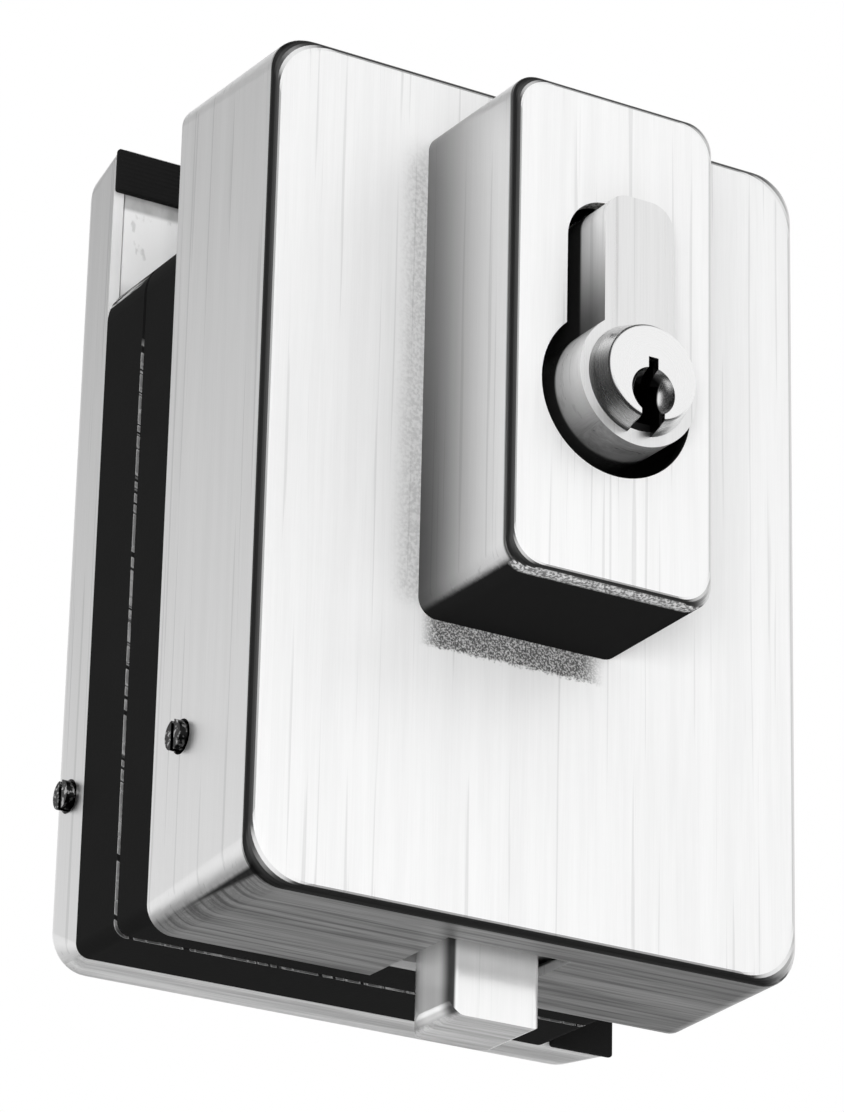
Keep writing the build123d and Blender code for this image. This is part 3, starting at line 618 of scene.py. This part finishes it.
# %% Bolt
def bolt_side_reflection(graph):
    """Painted reflection on the left side of the bolt: darkest by the front edge, grey at the back.
    """
    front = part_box("bolt")[0][1]
    y = graph.place()[1]
    left = (-graph.facing()[0]).step(0.3, 0.7)
    dark = (1 - y.step(front + 0.8 * mm, front + 3.5 * mm)) * 0.95
    return left * dark.larger(y.step(front + 6 * mm, front + 11 * mm) * 0.65), painted_reflection_and_shade


ground = {"fine": 0.12 * mm, "broad": 1.2 * mm, "rough": 0.2}
dress(brushed("bolt_steel", 0.94, shades=(bolt_side_reflection,), dull=0.5, **ground), "bolt")

# %% [markdown]
# ## Plated case and machined plates
# What the covers hide is plainer: a zinc-plated case with a cloudy grey skin, and aluminium
# plates that keep the lines of the milling cutter. One plate shows in the slot between the black
# filler and the rubber strip, and carries painted shade towards both.

# %% Case and plates
strip_height = 6.2 * mm
strip_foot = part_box("rear_glass_pads")[1][2] - strip_height
filler_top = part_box("front_filler_block")[1][2]


def cutter_marks_and_shade(graph):
    """Sparse grey marks where the milling cutter dwelt, and bands of painted shade below the
    rubber strip and above the black filler."""
    x, y, z = graph.place()
    marks = graph.noise(x / (1.6 * mm), y / mm, z / (3.5 * mm), 3.0)
    upper = z.step(strip_foot - 2.4 * mm, strip_foot - 1.6 * mm) * (0.4 + marks * 0.5)
    lower = (1 - z.step(filler_top - 4 * mm, filler_top + 1.5 * mm)) * 0.7
    return upper.larger(lower).larger(marks.step(0.6, 0.68) * 0.3), marks_and_shade_grey


cut = {"fine": 0.1 * mm, "broad": 3.0 * mm, "rough": 0.4, "spread": 0.04}
plates = brushed("clamp_aluminium", 0.97, shades=(cutter_marks_and_shade,), dull=0.8, **cut)
dress(plates, "front_clamp_plate", "rear_clamp_plate")
cloudy = {"fine": 0.3 * mm, "broad": 4.0 * mm, "rough": 0.42, "spread": 0.14}
dress(brushed("case_zinc", 0.50, **cloudy), "lock_case", "lock_case_lid", "brake_block")

# %% [markdown]
# ## Black parts
# The filler between the covers is cast and painted black. It is far darker than the steel and
# nearly dull, so its specular level is low. Along the line where its two halves meet, painted
# glints lie in dashes. The grub screws have a black oxide skin with bright wear.

# %% Black paint and oxide
parting_y = -1.2 * mm
chamfer_y = parting_y + 0.2 * mm
dashes_top = -12 * mm


def painted(name):
    """Black paint. Painted glints lie in dashes on the chamfer behind the parting line, below
    their top, where a noise along the edge is high. A few painted glints in streaks cross the
    rounded upper corner."""
    material, graph = new_finish(name)
    x, y, z = graph.place()
    peel = graph.grains(0.5 * mm)
    dust = graph.grains(6 * mm, 4.0)
    skin = graph.mix(dust, grey(0.005), grey(0.010))
    along = x + z
    dashes = graph.noise(along / (1.5 * mm), 0.0, 0.0, 3.0).step(0.42, 0.5)
    patches = graph.noise(along / (16 * mm), 3.0, 0.0, 2.0).step(0.36, 0.46)
    painted_glints = within(y, chamfer_y, 0.24 * mm, 0.05 * mm) * dashes * patches
    painted_glints = painted_glints * (1 - z.step(dashes_top - 3 * mm, dashes_top))
    way = graph.facing()
    round_corner = way[2].step(0.25, 0.4) * (-way[0]).step(0.25, 0.4)
    streaks = graph.noise(along / (0.8 * mm), y / (9 * mm), 0.0, 2.0).step(0.5, 0.58)
    painted_glints = painted_glints.larger(round_corner * streaks * y.step(-1 * mm, 3 * mm))
    colour = graph.mix(painted_glints, skin, grey(0.8))
    finish_off(graph, colour, painted_glints, 0.72 - painted_glints * 0.4 + dust * 0.1, peel, 0.02 * mm, 0.12)
    return material


def oxide(name):
    """Black oxide, worn bright in spots."""
    material, graph = new_finish(name)
    worn = graph.grains(0.6 * mm)
    colour = graph.mix(worn.step(0.52, 0.64), grey(0.02), grey(0.5))
    finish_off(graph, colour, 1.0, 0.16 + worn * 0.15, worn, 0.01 * mm)
    return material


dress(painted("filler_black"), "front_filler_block", "rear_filler_block")
dress(oxide("grub_black"), "front_grub_screws", "rear_grub_screws")

# %% [markdown]
# ## Rubber strips
# On the real lock each strip is an extruded rubber with fine ribs along it, so that it grips the
# glass. A texture could draw the ribs, but their edge shows in outline where the strip ends.
# Here the strip is one closed surface: a rounded profile that is carried along the strip and
# drawn in at both ends. First come the rubber and the profile.

# %% Rubber and profile
rib_pitch = 0.62 * mm
rib_depth = 0.05 * mm
rib_steps = 8
strip_round = 0.35 * mm
round_steps = 5


def rubbery(name):
    """Black rubber with a fine grain and a greyer bloom."""
    material, graph = new_finish(name)
    grain = graph.grains(0.25 * mm)
    bloom = graph.grains(5 * mm, 4.0)
    colour = graph.mix(bloom, grey(0.006), grey(0.012))
    finish_off(graph, colour, 0.0, 0.7 + bloom * 0.15, grain, 0.03 * mm, 0.15)
    return material


def rounded_profile(half_wide, half_thick, radius, ribs):
    """Closed profile of a strip, as wide and thick offsets. It is a rectangle whose corners are
    quarter circles, and the gripping face goes in by the rib depth times (1 - cos) / 2 of the
    way across in rib pitches."""
    turn = np.radians(np.linspace(0, 90, round_steps))
    wide, thick = [], []
    for quarter, (a, b) in enumerate([(1, 1), (-1, 1), (-1, -1), (1, -1)]):
        angle = turn + quarter * np.pi / 2
        wide.append(a * (half_wide - radius) + radius * np.cos(angle))
        thick.append(b * (half_thick - radius) + radius * np.sin(angle))
    flat = np.linspace(half_wide - radius, radius - half_wide, ribs * rib_steps + 1)[1:-1]
    groove = rib_depth * (1 - np.cos(2 * np.pi * flat / rib_pitch)) / 2
    wide.insert(1, flat)
    thick.insert(1, half_thick - groove)
    return np.concatenate(wide), np.concatenate(thick)


rubber = rubbery("pad_rubber")
print("rubber ribs", round(rib_pitch / mm, 2), "mm apart and", round(rib_depth / mm, 2), "mm deep")

# %% [markdown]
# ## A strip as rings of points
# The profile is copied to stations along the strip, which lie closer together where the ends
# round off. All rings are one array of points, and each quad joins two neighbours on one ring to
# the two beside them on the next.

# %% Strips
end_steps = 7
long_steps = 60
end_strip_left = 30.0 * mm


def rubber_strip(name, low, high, grip, node, length_axis, ribs):
    """Strip that fills a box, low to high. At each station the profile goes in by an inset,
    which is 0 along the strip and follows a quarter circle at each end. Grip is 1 where the
    ribs look to the back, and -1 where they look to the front."""
    low, high = np.array(low), np.array(high)
    middle, half = (low + high) / 2, (high - low) / 2
    wide_axis = 2 - length_axis
    wide, thick = rounded_profile(half[wide_axis], half[1], strip_round, ribs)
    turn = np.radians(np.linspace(0, 90, end_steps))
    end = half[length_axis] - strip_round * (1 - np.cos(turn))
    straight = np.linspace(-end[-1], end[-1], long_steps)[1:-1]
    station = np.concatenate([-end, straight, end[::-1]])
    drawn_in = strip_round * (1 - np.sin(turn))
    inset = np.concatenate([drawn_in, np.zeros_like(straight), drawn_in[::-1]])
    points = np.zeros((len(station), len(wide), 3))
    points[..., length_axis] = station[:, None]
    points[..., wide_axis] = (1 - inset / half[wide_axis])[:, None] * wide
    points[..., 1] = (1 - inset / half[1])[:, None] * thick * grip
    return closed_strip(name, points + middle, node)


def closed_strip(name, points, node):
    """Mesh of rings of points, each joined to the next, with a flat cap at both ends."""
    rings, count = points.shape[:2]
    index = np.arange(rings * count).reshape(rings, count)
    around = np.roll(index, -1, axis=1)
    faces = np.stack([index[:-1], around[:-1], around[1:], index[1:]], axis=-1).reshape(-1, 4)
    mesh = bpy.data.meshes.new(name)
    caps = [index[0, ::-1].tolist(), index[-1].tolist()]
    mesh.from_pydata(points.reshape(-1, 3).tolist(), [], faces.tolist() + caps)
    strip = bpy.data.objects.new(name, mesh)
    bpy.context.scene.collection.objects.link(strip)
    outward(mesh)
    mesh.materials.append(rubber)
    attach(strip, "root")
    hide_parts(node)
    return strip


def outward(mesh):
    """Turns every face to look out of the closed surface, and shades it smooth."""
    shell = bmesh.new()
    shell.from_mesh(mesh)
    bmesh.ops.recalc_face_normals(shell, faces=shell.faces)
    shell.to_mesh(mesh)
    shell.free()
    mesh.shade_smooth()


for side, grip in (("front", 1), ("rear", -1)):
    node = f"{side}_glass_pads"
    low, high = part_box(node)
    upper_low = (low[0], low[1], high[2] - strip_height)
    rubber_strip(f"{side}_upper_strip", upper_low, high, grip, node, 0, 9)
    end_low = (end_strip_left, low[1], low[2])
    rubber_strip(f"{side}_end_strip", end_low, (high[0], high[1], 0), grip, node, 2, 0)
print("four strips of rubber, of which the two upper ones have ribs")

# %% [markdown]
# ## Turned metal
# Pins, screws, gears and the round parts of the cylinder come off a lathe, so their marks are
# rings about an axis. The distance from that axis, fed to a noise, gives rings of uneven
# strength, as a real tool leaves.

# %% Turned metal
cylinder_axis = (-1.9 * mm, -31.2 * mm)
wheel_axis = (-8.6 * mm, -62.49 * mm)
ring_width = 0.12 * mm
ring_depth = 0.004 * mm


def turned(name, first, second, axis, rough=0.25, painted_shade_mask=None):
    """Rings about an axis along Y, which crosses X and Z at the given place. The colour goes
    between the first and the second with the rings and a cloud, and the last argument makes the
    mask of what gets painted shade."""
    material, graph = new_finish(name)
    x, y, z = graph.place()
    out_x, out_z = x - axis[0], z - axis[1]
    radius = (out_x * out_x + out_z * out_z).root()
    rings = graph.noise(radius / ring_width, y / ring_width, 0.0, 3.0)
    colour = graph.mix(rings * 0.6 + graph.grains(3 * mm) * 0.4, first, second)
    roughness = rough + (rings - 0.5) * 0.2
    if painted_shade_mask:
        mask = painted_shade_mask(graph)
        colour = graph.mix(mask, colour, grey(painted_recess_dark))
        roughness = roughness + mask * 0.3
    finish_off(graph, colour, 1.0, roughness, rings, ring_depth)
    return material


gears = ["cam_gear", "reduction_wheel", "drive_pinion", "gear_axle"]
dress(turned("gear_steel", grey(0.46), grey(0.62), wheel_axis), *gears)
screws = ["clamp_screws", "housing_screws", "lid_screws", "guide_screws"]
screws += ["cylinder_fixing_screw", "brake_set_screw"]
dress(turned("screw_steel", grey(0.6), grey(0.74), (0, 0)), *screws)
brass_parts = ["key_pins", "driver_pins", "chamber_caps", "bolt_guide", "axle_bushes"]
dark_brass, light_brass = (0.66, 0.44, 0.17, 1), (0.80, 0.58, 0.26, 1)
dress(turned("pin_brass", dark_brass, light_brass, cylinder_axis, rough=0.22), *brass_parts)
springs = ["driver_springs", "brake_spring", "plug_clip"]
dress(turned("spring_steel", grey(0.42), grey(0.56), (0, 0)), *springs)

# %% [markdown]
# ## The profile cylinder
# The body is a drawn bar, brushed over its face, and the plug is turned. What stands proud of the
# housing carries painted shade, from light to dark down its sides, and what stands inside the
# housing is painted dark. The keyway is painted dark behind the plug's face as well.

# %% Profile cylinder
barrel_top = cylinder_axis[1] + 6.8 * mm
keyway_half = 1.75 * mm
keyway_top = cylinder_axis[1] + 2.2 * mm


def behind_face_shade(graph):
    """Painted shade on the part of the cylinder that stands inside the housing."""
    face_y = housing_low[1]
    return graph.place()[1].step(face_y + 0.3 * mm, face_y + 0.9 * mm), painted_recess_dark


def painted_side_shade(graph):
    """Painted shade on the sides of the proud part, which go from light above to dark below, once
    on the slim part and once on the barrel."""
    z = graph.place()[2]
    slim = 1 - z.step(barrel_top, barrel_top + 15 * mm)
    slim = slim * z.step(barrel_top, barrel_top + 0.2 * mm)
    barrel = 1 - z.step(cylinder_axis[1] - 9 * mm, cylinder_axis[1] + 4 * mm)
    return sideways(graph) * slim.larger(barrel * 0.9) * 0.92, painted_reflection_and_shade


def proud_side(graph):
    """The dull share of the cylinder's sides."""
    return sideways(graph) * 0.8


def keyway_shade(graph):
    """Painted shade on the walls of the keyway, where they lie behind the plug's face."""
    x, y, z = graph.place()
    face_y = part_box("plug")[0][1]
    near = within(x, cylinder_axis[0], keyway_half, 0.1 * mm)
    near = near * (1 - z.step(keyway_top, keyway_top + 0.4 * mm))
    return near * y.step(face_y + 0.5 * mm, face_y + 1.4 * mm)


drawn = {"fine": 0.2 * mm, "broad": 1.4 * mm, "rough": 0.3, "spread": 0.08}
# Painted shade on the proud sides and on what stands inside the housing.
proud = {"shades": (painted_side_shade, behind_face_shade), "dull": proud_side}
dress(brushed("cylinder_satin", 0.80, **drawn, **proud), "cylinder_body")
plug_levels = grey(0.84), grey(0.92)
plug_steel = turned("plug_satin", *plug_levels, cylinder_axis, rough=0.26, painted_shade_mask=keyway_shade)
dress(plug_steel, "plug")

# %% [markdown]
# ## Nylon
# The plunger that rubs on the bolt is natural nylon: off-white, waxy and a little cloudy.

# %% Nylon
def nylon(name):
    """Off-white plastic with clouds a millimetre across."""
    material, graph = new_finish(name)
    cloud = graph.grains(mm)
    colour = graph.mix(cloud, (0.80, 0.79, 0.72, 1), (0.88, 0.87, 0.81, 1))
    finish_off(graph, colour, 0.0, 0.4 + cloud * 0.1, cloud, 0.02 * mm)
    return material


dress(nylon("nylon"), "brake_plunger")

# %% [markdown]
# ## Colour view
# The render shows each colour about as it is written, through the standard view transform.

# %% Colour view
bpy.context.scene.view_settings.view_transform = "Standard"
